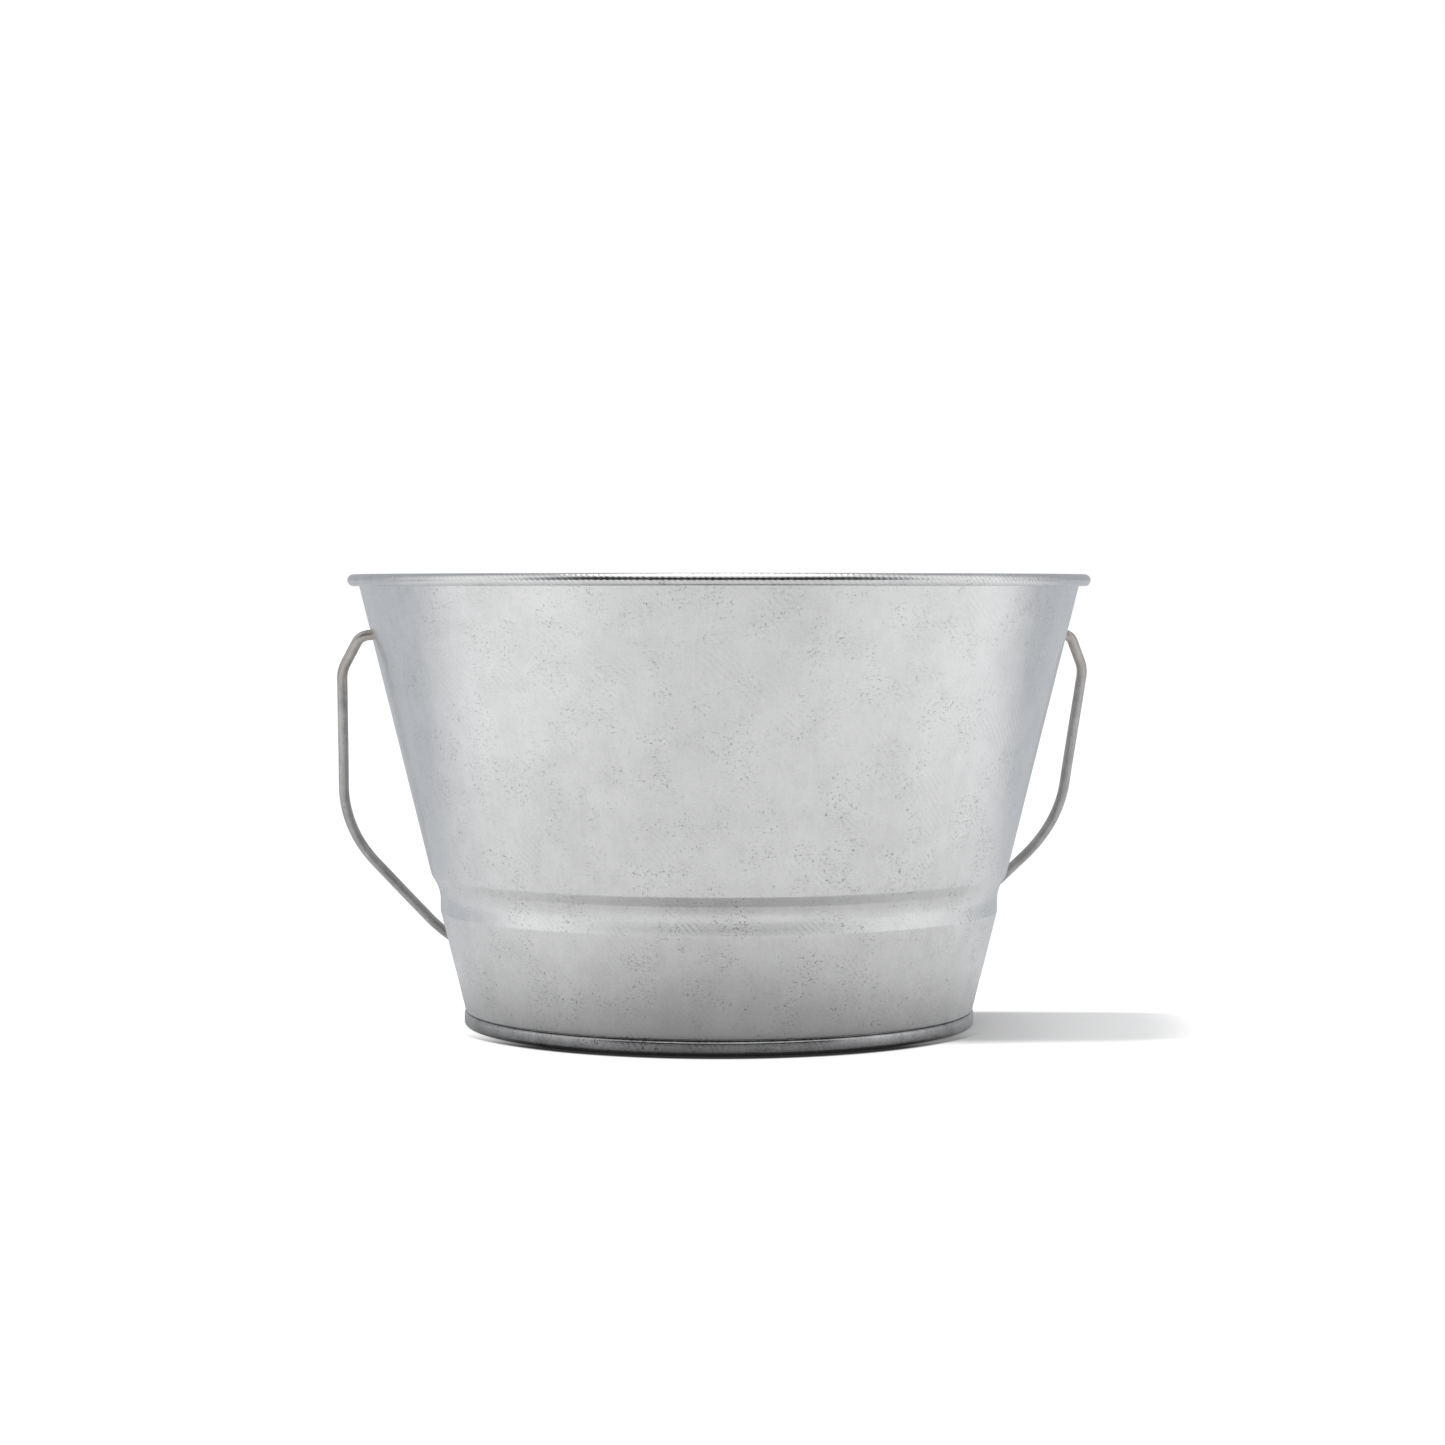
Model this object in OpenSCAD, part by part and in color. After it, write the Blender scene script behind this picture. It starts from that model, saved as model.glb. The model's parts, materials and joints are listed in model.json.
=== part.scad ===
// Candle bucket: a tapered pail of galvanised sheet steel with a rolled rim, a pressed
// stiffening step, a double-seamed base and a wire bail, filled with wax round three wicks.
// Millimetres, +Z up. The origin is on the floor at the bucket's axis, and the bail
// turns about a line parallel to the X axis.

/* [Bucket] */
// Overall diameter across the rolled rim
rim_d = 177.8; // [165:0.1:195]
// Overall height from the floor to the top of the rim
bucket_h = 107.95; // [98:0.05:120]
// Diameter across the double seam at the foot
foot_d = 122.7; // [112:0.1:135]
// Thickness of the galvanised sheet
sheet_t = 0.4; // [0.3:0.05:0.5]

/* [Rolled rim] */
// Diameter of the rolled bead
bead_d = 2.8; // [2.4:0.1:4]
// How far the sheet is rolled round inside the bead, in degrees
bead_turn = 290; // [230:5:300]

/* [Pressed step] */
// Height at which the upper wall turns in to the shoulder
step_top_z = 36.4; // [35:0.1:45]
// Height of the edge at which the shoulder eases into the hollow
step_break_z = 34.2; // [33.5:0.1:35.4]
// Depth of that edge below the straight taper
step_break_depth = 0.73; // [0.6:0.01:0.9]
// Height at which the rounded hollow would come to a corner
step_corner_z = 31.8; // [31:0.1:32.4]
// Depth of that corner below the straight taper
step_depth = 1.06; // [0.9:0.02:1.3]
// Height at which the upright band below the hollow meets the lower wall
step_foot_z = 27.5; // [20:0.1:29]

/* [Foot seam] */
// Height of the double seam above the floor
seam_h = 3.3; // [3:0.1:5]
// How far the seam stands out beyond the wall just above it
seam_proud = 0.25; // [0:0.05:0.6]
// Play left between neighbouring layers of the seam
seam_gap = 0.05; // [0.03:0.01:0.08]
// Height of the recessed base panel's middle plane
panel_z = 3.2; // [2.6:0.1:4]

/* [Base ring] */
// Distance of the pressed ring's outer edge from the seam
ring_inset = 12; // [8:0.5:14]
// Width of the pressed ring over its feet
ring_w = 6; // [5:0.5:7]
// Rise of the pressed ring above the panel
ring_h = 0.8; // [0.4:0.1:1.2]

/* [Lock seam] */
// Width of the folded seam up the back of the wall
lock_w = 5; // [3:0.5:8]
// How far the folded seam stands out from the wall
lock_t = 0.8; // [0.4:0.1:1.2]

/* [Bail] */
// Diameter of the bail wire
wire_d = 2.5; // [2:0.1:3.2]
// Distance of the bail holes below the top of the rim
pivot_drop = 14.45; // [12:0.05:18]
// Radial play of the wire in its hole
hole_play = 0.3; // [0.1:0.05:0.5]
// Gap between the rim and a leg of the bail as it passes
rim_gap = 0.2; // [0.2:0.1:3]
// How much further the bail reaches from its pivot than the floor is below it
reach_spare = 20.5; // [15:0.5:30]
// Distance from the pivot line along a leg to where its knee begins
leg_len = 47; // [35:0.5:52]
// Radius of the knee between a leg and the slant below it
knee_r = 43; // [30:0.5:50]
// How far the knee turns the wire in, in degrees
knee_turn = 35.5; // [32:0.5:38]
// Radius of the haunch between a slant and the crown
haunch_r = 45; // [35:0.5:55]
// Radius of the crown, which is held in the hand
crown_r = 160; // [130:1:220]
// Radius of the shoulder, where a leg turns in to its hole
shoulder_r = 3.4; // [2.8:0.1:4]
// How far a leg leans out from its shoulder to clear the rim, in degrees
shoulder_lean = 23; // [15:1:25]
// Radius of the elbow where a leg, level with the bead when raised, straightens again
elbow_r = 12; // [8:1:20]
// Distance of the hooked tail inside the wall, between facing surfaces at the pivot
tail_gap = 2.6; // [2.2:0.1:3.4]
// Length of the hooked tail from the pivot line
tail_len = 7; // [5:0.5:9]
// Radius of the bend into the tail
hook_r = 2.4; // [2:0.1:3]
// Gap kept between the resting bail and the floor
floor_gap = 0.3; // [0.2:0.1:1]

/* [Wax and wicks] */
// Distance from the wax's surface up to the top of the rim
headroom = 46; // [35:0.5:55]
// Shrinkage gap between the wax and what it was poured against
wax_gap = 0.1; // [0.05:0.05:0.3]
// Radius of the meniscus where the wax meets the wall
meniscus_r = 2.5; // [1:0.5:4]
// Diameter of a wick
wick_d = 2.5; // [2:0.1:4]
// Diameter of the circle that the wicks stand on
wick_circle_d = 60; // [50:1:64]
// Length of wick standing out of the wax
wick_proud = 10; // [5:0.5:12]
// Diameter of the tin foot that holds a wick
clip_d = 20; // [15:0.5:22]
// Thickness of the tin foot
clip_t = 0.25; // [0.2:0.05:0.3]
// Height of the tin foot's neck
clip_neck_h = 6; // [4:0.5:9]
// Gap under a tin foot, and between a wick and its neck
seat_gap = 0.05; // [0.03:0.01:0.1]

/* [Hidden] */

zinc = [0.70, 0.71, 0.73];
wire_grey = [0.58, 0.57, 0.55];
wax_yellow = [0.90, 0.84, 0.58];
cotton = [0.93, 0.91, 0.85];
tin = [0.78, 0.79, 0.80];
turn_steps = 240;
wire_steps = 48;

// Bend radii of the sheet, to its middle plane
tight_bend = 0.35;
neck_bend = 0.45;
foot_bend = 0.6;
ring_bend = 0.8;
step_top_bend = 1;
step_break_bend = 0.8;
step_corner_bend = 8;
step_foot_bend = 0.6;
clip_bend = 0.5;

// Layers of the double seam, from the outside in, each one sheet and one gap further
layer = sheet_t + seam_gap;
pan_outer_r = foot_d / 2 - sheet_t / 2;
wall_hook_r = pan_outer_r - layer;
pan_hook_r = wall_hook_r - layer;
wall_foot_r = pan_hook_r - layer;
pan_inner_r = wall_foot_r - layer;
pan_foot_z = sheet_t / 2;
wall_turn_z = pan_foot_z + 2 * layer;
pan_turn_z = seam_h - sheet_t / 2 - layer;
neck_z = seam_h + seam_gap + sheet_t / 2;

// The wall's middle plane runs straight from the foot to touch the bead's inner side
wall_foot = [foot_d / 2 - seam_proud - sheet_t / 2, neck_z];
bead_c = [rim_d / 2 - bead_d / 2, bucket_h - bead_d / 2];
bead_r = bead_d / 2 - sheet_t / 2;
to_bead = bead_c - wall_foot;
taper = atan2(to_bead[0], to_bead[1]) - asin(bead_r / norm(to_bead));
function wall_r(z) = wall_foot[0] + (z - wall_foot[1]) * tan(taper);
// Radius of a surface that lies in_by inside the wall's middle plane
function inner_r(z, in_by) = wall_r(z) - in_by / cos(taper);

// The bail's pivot line, its tilt at rest and its arcs
pivot_z = bucket_h - pivot_drop;
reach = pivot_z + reach_spare;
rest_tilt = acos((pivot_z - wire_d / 2 - floor_gap) / reach);
leg_x = rim_d / 2 + rim_gap + wire_d / 2;
tail_x = inner_r(pivot_z, sheet_t / 2) - tail_gap - wire_d / 2;
knee_c = [leg_x - knee_r, leg_len];
knee_out = [cos(knee_turn), sin(knee_turn)];
knee_end = knee_c + knee_r * knee_out;
crown_c = [0, reach - crown_r];
elbow_y = pivot_drop - bead_d / 2;
elbow_start = [leg_x - elbow_r * (1 - cos(shoulder_lean)), elbow_y - elbow_r * sin(shoulder_lean)];
shoulder_end_y = shoulder_r * (1 - sin(shoulder_lean));
shoulder_end = [elbow_start[0] - (elbow_start[1] - shoulder_end_y) * tan(shoulder_lean), shoulder_end_y];
shoulder_x = shoulder_end[0] - shoulder_r * cos(shoulder_lean);

// The slant runs on from the knee until the haunch can touch both it and the crown's inside
slant = left_of(knee_out);
from_crown = knee_end - haunch_r * knee_out - crown_c;
along = from_crown * slant;
slant_len = sqrt(along * along - from_crown * from_crown + pow(crown_r - haunch_r, 2)) - along;
slant_end = knee_end + slant_len * slant;
haunch_c = slant_end - haunch_r * knee_out;
crown_turn = atan2(haunch_c[1] - crown_c[1], haunch_c[0]);

// How far a bend of the wire laps into its neighbours, and how much thinner it is than them
wire_lap = wire_d / 25;
wire_hair = wire_d / 250;

wax_z = bucket_h - headroom;
panel_top = panel_z + sheet_t / 2;
clip_z = panel_top + seat_gap + clip_t / 2;
neck_r = wick_d / 2 + seat_gap + clip_t / 2;

function unit(v) = v / norm(v);
function left_of(v) = [-v[1], v[0]];
function reversed(list) = [for (i = [len(list) - 1 : -1 : 0]) list[i]];
function arc(c, r, from, to, steps) =
    [for (i = [0 : steps]) let (a = from + (to - from) * i / steps) c + r * [cos(a), sin(a)]];

// Corner b, between a and c, rounded to radius r
function round_corner(a, b, c, r) =
    let (
        u = unit(a - b),
        v = unit(c - b),
        half = acos(u * v) / 2,
        centre = b + unit(u + v) * r / sin(half),
        start = b + u * r / tan(half) - centre,
        end = b + v * r / tan(half) - centre,
        from = atan2(start[1], start[0]),
        swing = atan2(start[0] * end[1] - start[1] * end[0], start * end),
        steps = max(2, ceil(abs(swing) / 12))
    )
    arc(centre, r, from, from + swing, steps);

// The corners between a path's two ends, each [x, z, radius], rounded
function bends(path) = [
    for (i = [1 : len(path) - 2])
        let (a = path[i - 1], b = path[i], c = path[i + 1])
        each round_corner([a[0], a[1]], [b[0], b[1]], [c[0], c[1]], b[2])
];

// A path moved to its left by d, or to its right where d is negative
function beside(path, d) = [
    for (i = [0 : len(path) - 1])
        let (
            before = left_of(unit(path[max(i, 1)] - path[max(i, 1) - 1])),
            last = len(path) - 1,
            after = left_of(unit(path[min(i + 1, last)] - path[min(i + 1, last) - 1]))
        )
        path[i] + d * (before + after) / (1 + before * after)
];

// Outline of a sheet that follows a path on its middle plane
function sheet_outline(path, t) = concat(beside(path, t / 2), reversed(beside(path, -t / 2)));

// The pressed step's corners on the wall's middle plane, from the foot up
step_corners = [
    [wall_r(step_foot_z), step_foot_z, step_foot_bend],
    [wall_r(step_corner_z) - step_depth, step_corner_z, step_corner_bend],
    [wall_r(step_break_z) - step_break_depth, step_break_z, step_break_bend],
    [wall_r(step_top_z), step_top_z, step_top_bend]
];

// The wall's stretch between two heights, through the pressed step, moved outwards by out_by
function wall_stretch(low_z, high_z, out_by) =
    let (
        corners = [for (c = step_corners) c + [out_by, 0, 0]],
        low = [wall_r(low_z) + out_by, low_z],
        high = [wall_r(high_z) + out_by, high_z]
    )
    concat([low], bends(concat([low], corners, [high])), [high]);

// From the hook inside the foot seam, in under the neck, up the taper and round the bead
wall_path = concat(
    [[wall_hook_r, pan_turn_z - seam_gap]],
    arc([pan_hook_r, wall_turn_z], layer, 0, -180, 10),
    bends(concat(
        [[wall_foot_r, wall_turn_z], [wall_foot_r, neck_z, tight_bend], [wall_foot[0], neck_z, neck_bend]],
        step_corners,
        [bead_c + bead_r * [-cos(taper), sin(taper)]]
    )),
    arc(bead_c, bead_r, 180 - taper, 180 - taper - bead_turn, 30)
);

// The base panel from its bend at the seam to the axis, over the pressed ring
ring_out_r = pan_inner_r - ring_inset;
ring_slope = 2 * ring_h;
panel_corners = [
    [ring_out_r, panel_z, ring_bend],
    [ring_out_r - ring_slope, panel_z + ring_h, ring_bend],
    [ring_out_r - ring_w + ring_slope, panel_z + ring_h, ring_bend],
    [ring_out_r - ring_w, panel_z, ring_bend]
];
panel_path = concat(
    bends(concat([[pan_inner_r, panel_z]], panel_corners, [[0, panel_z]])),
    [[0, panel_z]]
);

// From the hook inside the wall's hook, over the top of the seam, down and under it
pan_path = concat(
    [[pan_hook_r, wall_turn_z + seam_gap]],
    arc([wall_hook_r, pan_turn_z], layer, 180, 0, 10),
    bends([
        [pan_outer_r, pan_turn_z],
        [pan_outer_r, pan_foot_z, foot_bend],
        [pan_inner_r, pan_foot_z, foot_bend],
        [pan_inner_r, panel_z, foot_bend],
        [ring_out_r, panel_z]
    ]),
    panel_path
);

// The wax's outline: along the panel, up the wall, then the meniscus and the flat top
function wax_outline() =
    let (
        off = sheet_t / 2 + wax_gap,
        arc_from = -20,
        edge_z = wax_z + meniscus_r * (1 + sin(arc_from)),
        edge_r = inner_r(edge_z, off),
        low_z = neck_z + off
    )
    concat(
        reversed(beside(panel_path, -off)),
        [[wall_foot_r - off, panel_z + off], [wall_foot_r - off, low_z], [inner_r(low_z, off), low_z]],
        beside(bends(concat([[wall_r(low_z), low_z]], step_corners, [[wall_r(wax_z), wax_z]])), off),
        arc([edge_r - meniscus_r * cos(arc_from), wax_z + meniscus_r], meniscus_r, arc_from, -90, 8),
        [[0, wax_z]]
    );

module bucket_wall() {
    color(zinc) difference() {
        union() {
            rotate_extrude($fn = turn_steps) polygon(sheet_outline(wall_path, sheet_t));
            lock_seam();
        }
        translate([0, 0, pivot_z]) rotate([0, 90, 0])
            cylinder(d = wire_d + 2 * hole_play, h = rim_d, center = true, $fn = wire_steps);
    }
}

// The folded lock seam up the back, where the wall's two edges are hooked together
module lock_seam() {
    low_z = neck_z + 2 * neck_bend;
    high_z = bucket_h - bead_d - sheet_t;
    intersection() {
        rotate_extrude($fn = turn_steps) polygon(concat(
            wall_stretch(low_z, high_z, 0),
            reversed(wall_stretch(low_z, high_z, sheet_t / 2 + lock_t))
        ));
        translate([-lock_w / 2, 0, 0]) cube([lock_w, rim_d, bucket_h]);
    }
}

module base_pan() {
    color(zinc) rotate_extrude($fn = turn_steps) polygon(sheet_outline(pan_path, sheet_t));
}

// An arc of the bail wire in the bail's own plane, round the centre c
module wire_arc(c, radius, from, turn, d = wire_d) {
    translate([c[0], c[1], 0]) rotate([0, 0, from])
        rotate_extrude(angle = turn, $fn = turn_steps)
            translate([radius, 0]) circle(d = d, $fn = wire_steps);
}

// A bend laps a little way into its neighbours, a hair thinner, so that the wire is one solid
module wire_bend(c, radius, from, turn) {
    lap_turn = wire_lap / radius * 180 / PI;
    wire_arc(c, radius, from - lap_turn, turn + 2 * lap_turn, wire_d - wire_hair);
}

// A straight run of the bail wire
module wire_run(start, end) {
    run = end - start;
    translate([start[0], start[1], 0]) rotate([0, 0, atan2(run[1], run[0])]) rotate([0, 90, 0])
        cylinder(d = wire_d, h = norm(run), $fn = wire_steps);
}

// One side of the bail: hooked tail, run through the wall, shoulder, leg, knee, slant and haunch
module bail_side() {
    wire_run([tail_x, tail_len], [tail_x, hook_r]);
    wire_bend([tail_x + hook_r, hook_r], hook_r, 180, 90);
    wire_run([tail_x + hook_r, 0], [shoulder_x, 0]);
    wire_bend([shoulder_x, shoulder_r], shoulder_r, -90, 90 - shoulder_lean);
    wire_run(shoulder_end, elbow_start);
    wire_bend([leg_x - elbow_r, elbow_y], elbow_r, -shoulder_lean, shoulder_lean);
    wire_run([leg_x, elbow_y], [leg_x, leg_len]);
    wire_bend(knee_c, knee_r, 0, knee_turn);
    wire_run(knee_end, slant_end);
    wire_bend(haunch_c, haunch_r, knee_turn, crown_turn - knee_turn);
}

module bail_handle() {
    color(wire_grey) translate([0, 0, pivot_z]) rotate([rest_tilt - 90, 0, 0]) {
        bail_side();
        mirror([1, 0, 0]) bail_side();
        wire_arc(crown_c, crown_r, crown_turn, 180 - 2 * crown_turn);
    }
}

// Puts its children where wick number i stands
module at_wick(i) {
    rotate([0, 0, 120 * i - 30]) translate([wick_circle_d / 2, 0, 0]) children();
}

module wick(i) {
    color(cotton) at_wick(i) translate([0, 0, panel_top + seat_gap])
        cylinder(d = wick_d, h = wax_z + wick_proud - panel_top - seat_gap, $fn = wire_steps);
}

// A tin foot: a flat disc with a neck drawn up round the wick
module wick_clip(i) {
    path = concat(
        [[clip_d / 2, clip_z]],
        bends([[clip_d / 2, clip_z], [neck_r, clip_z, clip_bend], [neck_r, clip_z + clip_neck_h]]),
        [[neck_r, clip_z + clip_neck_h]]
    );
    color(tin) at_wick(i) rotate_extrude($fn = turn_steps) polygon(sheet_outline(path, clip_t));
}

module wax_fill() {
    color(wax_yellow) difference() {
        rotate_extrude($fn = turn_steps) polygon(wax_outline());
        for (i = [1 : 3]) at_wick(i) {
            clip_pocket();
            cylinder(d = wick_d + 2 * wax_gap, h = bucket_h, $fn = wire_steps);
        }
    }
}

// The hollow that a tin foot leaves in the wax
module clip_pocket() {
    disc_top = clip_z + clip_t / 2 + wax_gap;
    neck_top = clip_z + clip_neck_h + wax_gap;
    cylinder(d = clip_d + 2 * wax_gap, h = disc_top, $fn = turn_steps);
    cylinder(r = neck_r + clip_t / 2 + clip_bend + wax_gap, h = neck_top, $fn = wire_steps);
}

bucket_wall();
base_pan();
bail_handle();
wax_fill();
wick(1);  // wick_1
wick(2);  // wick_2
wick(3);  // wick_3
wick_clip(1);  // wick_clip_1
wick_clip(2);  // wick_clip_2
wick_clip(3);  // wick_clip_3
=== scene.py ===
# The looks of a candle bucket in galvanised sheet steel with a wire bail, built round
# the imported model. The sections follow the bucket as it is put together.
import json
import math

import bmesh
import bpy
import numpy as np
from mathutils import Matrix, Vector, noise


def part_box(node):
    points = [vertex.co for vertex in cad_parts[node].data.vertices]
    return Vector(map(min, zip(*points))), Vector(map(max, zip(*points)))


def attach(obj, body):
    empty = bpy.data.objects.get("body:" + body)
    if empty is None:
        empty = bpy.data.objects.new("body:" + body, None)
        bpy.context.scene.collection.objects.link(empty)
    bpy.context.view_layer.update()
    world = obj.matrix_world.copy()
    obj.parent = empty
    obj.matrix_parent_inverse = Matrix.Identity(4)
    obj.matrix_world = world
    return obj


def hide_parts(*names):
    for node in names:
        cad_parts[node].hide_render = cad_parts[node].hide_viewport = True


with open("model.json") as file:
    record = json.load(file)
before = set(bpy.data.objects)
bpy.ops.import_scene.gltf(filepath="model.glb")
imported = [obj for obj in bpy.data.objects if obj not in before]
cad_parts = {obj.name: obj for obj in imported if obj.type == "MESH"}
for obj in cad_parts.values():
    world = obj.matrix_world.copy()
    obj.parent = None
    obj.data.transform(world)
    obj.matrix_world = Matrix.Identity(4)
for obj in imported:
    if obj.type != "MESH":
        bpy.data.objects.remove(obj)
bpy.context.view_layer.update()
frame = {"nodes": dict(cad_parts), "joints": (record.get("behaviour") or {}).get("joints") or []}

# The wall
# One strip of galvanised steel, joined up the back in a folded lock seam. It is rolled out to a
# bead at the top, pressed with a step low down, hooked at its foot and pierced for the bail.
MM = 0.001
SHEET = 0.4
BUCKET_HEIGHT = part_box("bucket_wall")[1].z / MM
RIM_RADIUS = 88.9
FOOT_RADIUS = 61.35
MEAN_RADIUS = 75.0
BEAD_RADIUS = 1.4
BEAD_TURN = 290
SEAM_HEIGHT = 3.3
SEAM_PROUD = 0.25
SEAM_GAP = 0.05
LAYER = SHEET + SEAM_GAP
STEP_FOOT = 27.5
STEP_CORNER = 31.8
CORNER_DEPTH = 1.06
STEP_BREAK = 34.2
BREAK_DEPTH = 0.73
STEP_TOP = 36.4
NECK_BEND = 0.35
CONE_BEND = 0.45
FOOT_BEND = 0.6
CORNER_BEND = 8
BREAK_BEND = 0.8
TOP_BEND = 1
PIVOT_HEIGHT = frame["joints"][0]["pos_m"][2] / MM
BAIL_HOLE_RADIUS = 1.55
LOCK_WIDTH = 5
LOCK_RISE = 0.8
LOCK_TOP = 103.4
DENTS_FROM = 8
DENTS_TO = 92

pan_outer = FOOT_RADIUS - SHEET / 2
wall_hook, pan_hook, wall_foot, pan_inner = (pan_outer - layer * LAYER for layer in (1, 2, 3, 4))
hook_low = SHEET / 2 + 2 * LAYER
hook_high = SEAM_HEIGHT - SHEET / 2 - LAYER
neck = SEAM_HEIGHT + LAYER - SHEET / 2

# The wall's middle plane runs straight from the foot to the inner side of the bead
cone_foot = np.array([FOOT_RADIUS - SEAM_PROUD - SHEET / 2, neck])
bead_centre = np.array([RIM_RADIUS - BEAD_RADIUS, BUCKET_HEIGHT - BEAD_RADIUS])
bead_middle = BEAD_RADIUS - SHEET / 2
to_bead = bead_centre - cone_foot
taper = math.atan2(*to_bead) - math.asin(bead_middle / np.linalg.norm(to_bead))


def wall_radius(height):
    """Radius of the wall's middle plane, without the pressed step."""
    return cone_foot[0] + (height - cone_foot[1]) * math.tan(taper)


def arc(centre, radius, start, stop, steps):
    """Points along an arc, from start to stop in degrees."""
    turn = np.radians(np.linspace(start, stop, steps + 1))
    return np.array(centre) + radius * np.column_stack([np.cos(turn), np.sin(turn)])


def bends(path, fineness=8):
    """A path whose inner points are corners [radius, height, bend], each rounded by an arc."""
    bent = [np.array([path[0][:2]])]
    for before, corner, after in zip(path, path[1:], path[2:]):
        here = np.array(corner[:2])
        back = np.array(before[:2]) - here
        on = np.array(after[:2]) - here
        back, on = back / np.linalg.norm(back), on / np.linalg.norm(on)
        half = math.acos(np.clip(back @ on, -1, 1)) / 2
        bend = corner[2]
        middle = here + (back + on) / np.linalg.norm(back + on) * bend / math.sin(half)
        start = here + back * bend / math.tan(half) - middle
        end = here + on * bend / math.tan(half) - middle
        first = math.degrees(math.atan2(start[1], start[0]))
        swing = math.degrees(math.atan2(start[0] * end[1] - start[1] * end[0], start @ end))
        bent.append(arc(middle, bend, first, first + swing, max(4, round(abs(swing) / fineness))))
    bent.append(np.array([path[-1][:2]]))
    return np.vstack(bent)


def spaced(path, step):
    """The same path with points added so that none are further apart than step."""
    points = [path[:1]]
    for start, end in zip(path, path[1:]):
        count = max(1, math.ceil(np.linalg.norm(end - start) / step))
        points.append(start + (end - start) * np.linspace(0, 1, count + 1)[1:, None])
    points = np.vstack(points)
    apart = np.linalg.norm(np.diff(points, axis=0), axis=1) > 1e-6
    return points[np.append(True, apart)]


def beside(path, distance):
    """The path moved sideways, to its left where distance is positive."""
    run = np.diff(path, axis=0)
    run /= np.linalg.norm(run, axis=1)[:, None]
    left = np.column_stack([-run[:, 1], run[:, 0]])
    before, after = np.vstack([left[:1], left]), np.vstack([left, left[-1:]])
    return path + distance * (before + after) / (1 + (before * after).sum(1))[:, None]


def smooth(value, low, high):
    """0 below low, 1 above high, with an even curve between them."""
    share = np.clip((value - low) / (high - low), 0, 1)
    return share * share * (3 - 2 * share)


def hand_dents(turn, height):
    """How far the thin sheet stands in or out where pressing, seaming and handling moved it."""
    places = zip(np.cos(turn).flat, np.sin(turn).flat, height.flat)
    moved = [0.09 * noise.noise(Vector((2.2 * c, 2.2 * s, z / 45)))
             + 0.03 * noise.noise(Vector((7 * c, 7 * s, z / 16 + 5))) for c, s, z in places]
    free = smooth(height, DENTS_FROM, DENTS_FROM + 12) * (1 - smooth(height, DENTS_TO - 4, DENTS_TO))
    return np.array(moved).reshape(turn.shape) * free


def faces_round(columns, rows, left_out=()):
    """Quads of a closed outline with this many rows, turned through this many columns."""
    return [
        (c * rows + r, (c + 1) % columns * rows + r,
         (c + 1) % columns * rows + (r + 1) % rows, c * rows + (r + 1) % rows)
        for c in range(columns) for r in range(rows) if (c, r) not in left_out
    ]


def surface(name, points, faces, finish):
    """A smooth-shaded mesh object in one finish, from points in millimetres."""
    mesh = bpy.data.meshes.new(name)
    mesh.from_pydata((np.array(points) * MM).tolist(), [], faces)
    tidy = bmesh.new()
    tidy.from_mesh(mesh)
    bmesh.ops.remove_doubles(tidy, verts=tidy.verts, dist=1e-7)
    bmesh.ops.delete(tidy, geom=[v for v in tidy.verts if not v.link_faces], context="VERTS")
    bmesh.ops.recalc_face_normals(tidy, faces=tidy.faces)
    tidy.to_mesh(mesh)
    tidy.free()
    mesh.shade_smooth()
    mesh.materials.append(finish)
    made = bpy.data.objects.new(name, mesh)
    bpy.context.scene.collection.objects.link(made)
    return made


def add(tree, kind, inputs=None, **fields):
    """One shader node, its fields set and its inputs given as values, sockets or whole nodes."""
    made = tree.nodes.new("ShaderNode" + kind)
    for field, value in fields.items():
        setattr(made, field, value)
    for key, value in (inputs or {}).items():
        if isinstance(value, bpy.types.Node):
            value = value.outputs[0]
        if isinstance(value, bpy.types.NodeSocket):
            tree.links.new(value, made.inputs[key])
        else:
            made.inputs[key].default_value = value
    return made


def new_finish(name, **inputs):
    """A material, its node tree and its shader, with the shader's even inputs set."""
    made = bpy.data.materials.new(name)
    made.use_nodes = True
    shader = made.node_tree.nodes["Principled BSDF"]
    for key, value in inputs.items():
        shader.inputs[key.replace("_", " ")].default_value = value
    return made, made.node_tree, shader


def grain(tree, place, size, detail=2, roughness=0.5, distortion=0):
    """Noise from 0 to 1 whose blotches are about size millimetres across."""
    inputs = {"Vector": place, "Scale": 1 / size, "Detail": detail, "Roughness": roughness,
              "Distortion": distortion}
    return add(tree, "TexNoise", inputs).outputs[0]


def slanting_lines(tree, place, scale, distortion, detail, detail_scale):
    """Wavering parallel lines from 0 to 1, laid aslant."""
    inputs = {"Vector": place, "Scale": scale, "Distortion": distortion, "Detail": detail,
              "Detail Scale": detail_scale}
    return add(tree, "TexWave", inputs, bands_direction="DIAGONAL").outputs[1]


def between(tree, value, low, high, start=0.0, stop=1.0):
    """The value's stretch from low to high, eased and carried over to start and stop."""
    inputs = {0: value, 1: low, 2: high, 3: start, 4: stop}
    return add(tree, "MapRange", inputs, interpolation_type="SMOOTHSTEP").outputs[0]


def times(tree, first, second):
    """Product of two values."""
    return add(tree, "Math", {0: first, 1: second}, operation="MULTIPLY").outputs[0]


def larger(tree, first, second):
    """The larger of two values."""
    return add(tree, "Math", {0: first, 1: second}, operation="MAXIMUM").outputs[0]


def total(tree, *terms):
    """Sum of (value, weight) pairs."""
    result = times(tree, *terms[0])
    for value, weight in terms[1:]:
        inputs = {0: value, 1: weight, 2: result}
        result = add(tree, "Math", inputs, operation="MULTIPLY_ADD").outputs[0]
    return result


def colours(tree, share, low, high):
    """A colour from low to high, by the share from 0 to 1."""
    return add(tree, "Mix", {0: share, 6: low, 7: high}, data_type="RGBA").outputs[2]


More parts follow.
